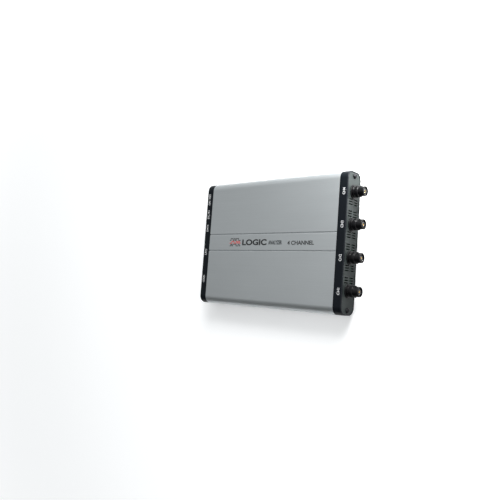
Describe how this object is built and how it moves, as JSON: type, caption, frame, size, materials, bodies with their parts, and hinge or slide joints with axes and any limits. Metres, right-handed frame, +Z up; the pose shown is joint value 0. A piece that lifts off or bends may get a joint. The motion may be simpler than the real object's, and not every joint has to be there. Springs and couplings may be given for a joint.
{
  "type": "logic analyzer",
  "caption": "Flat bench logic analyzer in a rounded aluminium case with black end bezels, bayonet inputs on a vented front panel and ports behind.",
  "frame": {"origin": "middle of the footprint, connectors included, on the surface that the feet stand on", "axes": "+X across the case towards channel 4, -Y out of the input connectors, +Z up out of the large top face"},
  "size_m": [0.136, 0.202, 0.0255],
  "materials": {
    "anodised_aluminium": "satin silver anodised, fine lines along the case",
    "bezel_plastic": "fine moulded texture",
    "gunmetal_panel": "satin gunmetal paint",
    "black_steel": "black oxide",
    "foot_rubber": "matt rubber",
    "trim_black": "satin",
    "connector_black": "moulded, slightly glossy edges",
    "nickel": "nickel plate",
    "dark_insulator": "dull moulded black",
    "white_insulator": "waxy white",
    "gold": "gold plate",
    "switch_black": "moulded black",
    "tin": "tin plate",
    "lead_red": "wire insulation",
    "port_black": "moulded black",
    "port_steel": "stamped steel, tin plated",
    "light_pipe": "clear tinted light pipe",
    "board_green": "green solder mask",
    "tinplate": "tin-plated sheet",
    "relay_cream": "moulded",
    "chip_black": "moulded epoxy",
    "pad_blue": "soft silicone",
    "sink_aluminium": "extruded",
    "oscillator_case": "stamped lid",
    "ferrite": "moulded ferrite",
    "capacitor_sleeve": "aluminium can"
  },
  "bodies": {
    "case": {"case_extrusion": "anodised_aluminium", "front_bezel": "bezel_plastic", "rear_bezel": "bezel_plastic", "front_panel": "gunmetal_panel", "rear_panel": "gunmetal_panel", "front_screws": "black_steel", "rear_screws": "black_steel", "rubber_feet": "foot_rubber", "bnc_trim_rings": "trim_black", "bnc_housing_1": "connector_black", "bnc_sleeve_1": "nickel", "bnc_insulator_1": "dark_insulator", "bnc_contact_1": "gold", "bnc_housing_2": "connector_black", "bnc_sleeve_2": "nickel", "bnc_insulator_2": "dark_insulator", "bnc_contact_2": "gold", "bnc_housing_3": "connector_black", "bnc_sleeve_3": "nickel", "bnc_insulator_3": "dark_insulator", "bnc_contact_3": "gold", "bnc_housing_4": "connector_black", "bnc_sleeve_4": "nickel", "bnc_insulator_4": "dark_insulator", "bnc_contact_4": "gold", "switch_frame": "switch_black", "switch_terminals": "tin", "switch_leads": "lead_red", "dc_jack_body": "port_black", "lan_insert": "port_black", "logic_shroud": "port_black", "dc_jack_pin": "tin", "dc_jack_spring": "gold", "usb_contacts": "gold", "lan_contacts": "gold", "logic_pins": "gold", "usb_shell": "port_steel", "lan_shell": "port_steel", "usb_tongue": "white_insulator", "lan_lights": "light_pipe", "main_board": "board_green", "channel_shields": "tinplate", "input_relays": "relay_cream", "input_amplifiers": "chip_black", "adc_chips": "chip_black", "fpga_chip": "chip_black", "memory_chips": "chip_black", "regulators": "chip_black", "usb_chip": "chip_black", "lan_chip": "chip_black", "logic_buffers": "chip_black", "thermal_pad": "pad_blue", "heat_sink": "sink_aluminium", "clock_oscillator": "oscillator_case", "power_inductors": "ferrite", "capacitors": "capacitor_sleeve"},
    "rocker": {"switch_rocker": "switch_black"}
  },
  "joints": [
    {"name": "power_rocker", "type": "hinge", "parent": "case", "child": "rocker", "pos_m": [0.05, 0.09615, 0.0135], "axis": [0, 0, 1], "range_deg": [0, 20]}
  ]
}
